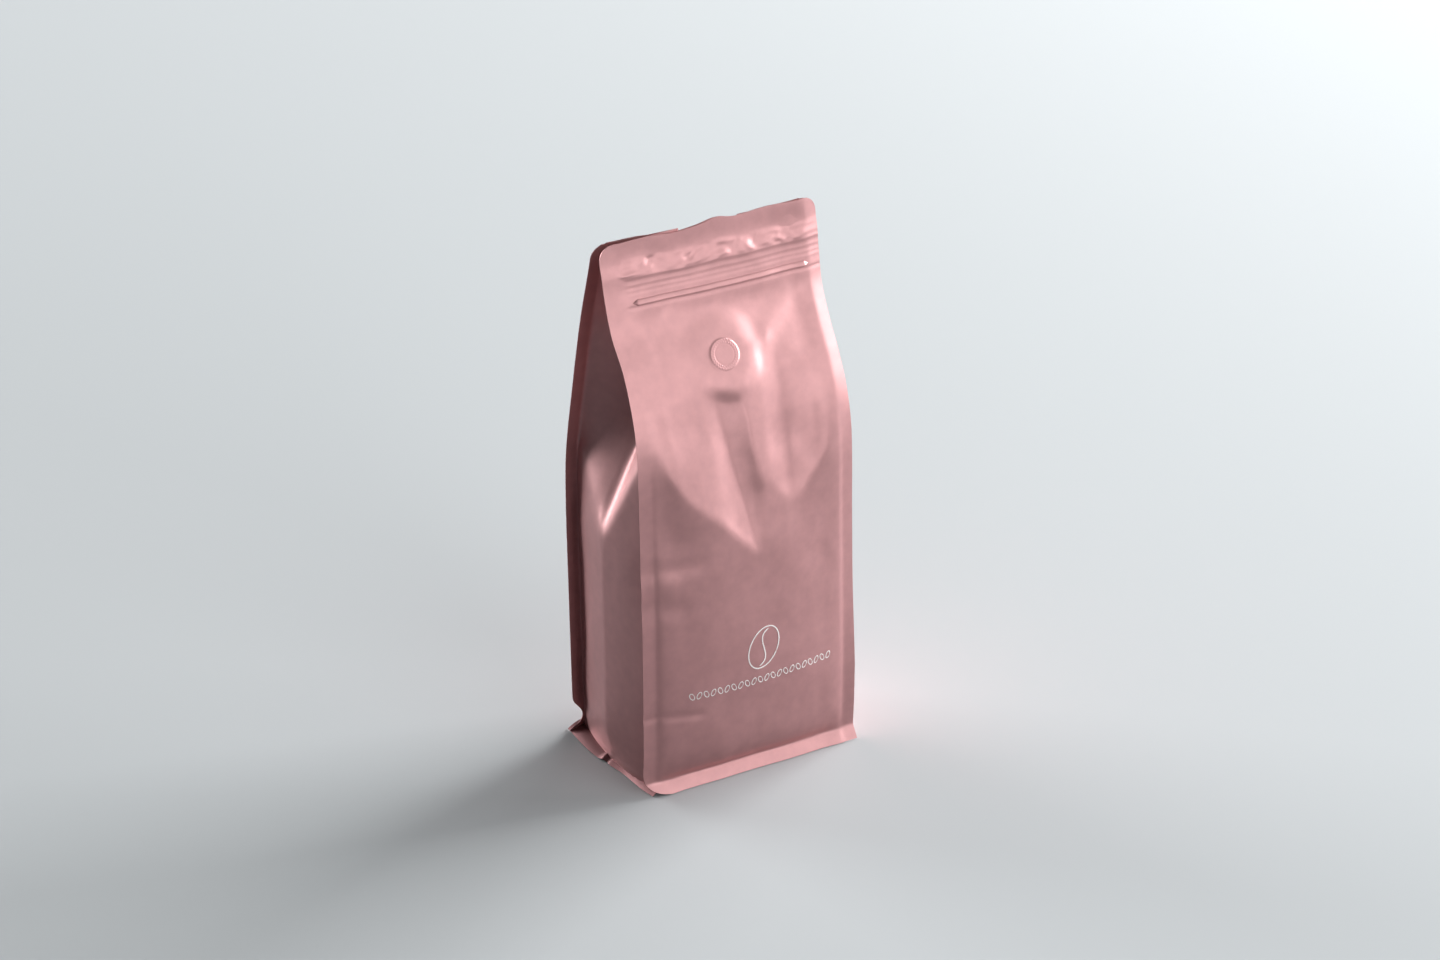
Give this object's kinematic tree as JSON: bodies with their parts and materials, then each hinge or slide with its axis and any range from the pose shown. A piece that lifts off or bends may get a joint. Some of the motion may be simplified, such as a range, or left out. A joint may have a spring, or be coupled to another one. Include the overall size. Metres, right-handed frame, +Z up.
{
  "type": "coffee bag",
  "caption": "Flat-bottomed side-gusset bag, filled and sealed, with side fins, a zip track and a round vent valve, standing upright",
  "frame": {"origin": "the middle of the bag's footprint, on the surface it stands on", "axes": "+Z up along the height, front panel faces -Y, width along X"},
  "size_m": [0.1478, 0.1036, 0.334],
  "materials": {
    "bag_film": "satin rose laminate film with a soft metallic sheen",
    "valve_film": "satin rose film pressed over a valve disc",
    "zip_film": "satin rose film pressed over a zip rib"
  },
  "bodies": {
    "root": {"bag": "bag_film", "valve": "valve_film", "zip_track": "zip_film"}
  },
  "joints": []
}
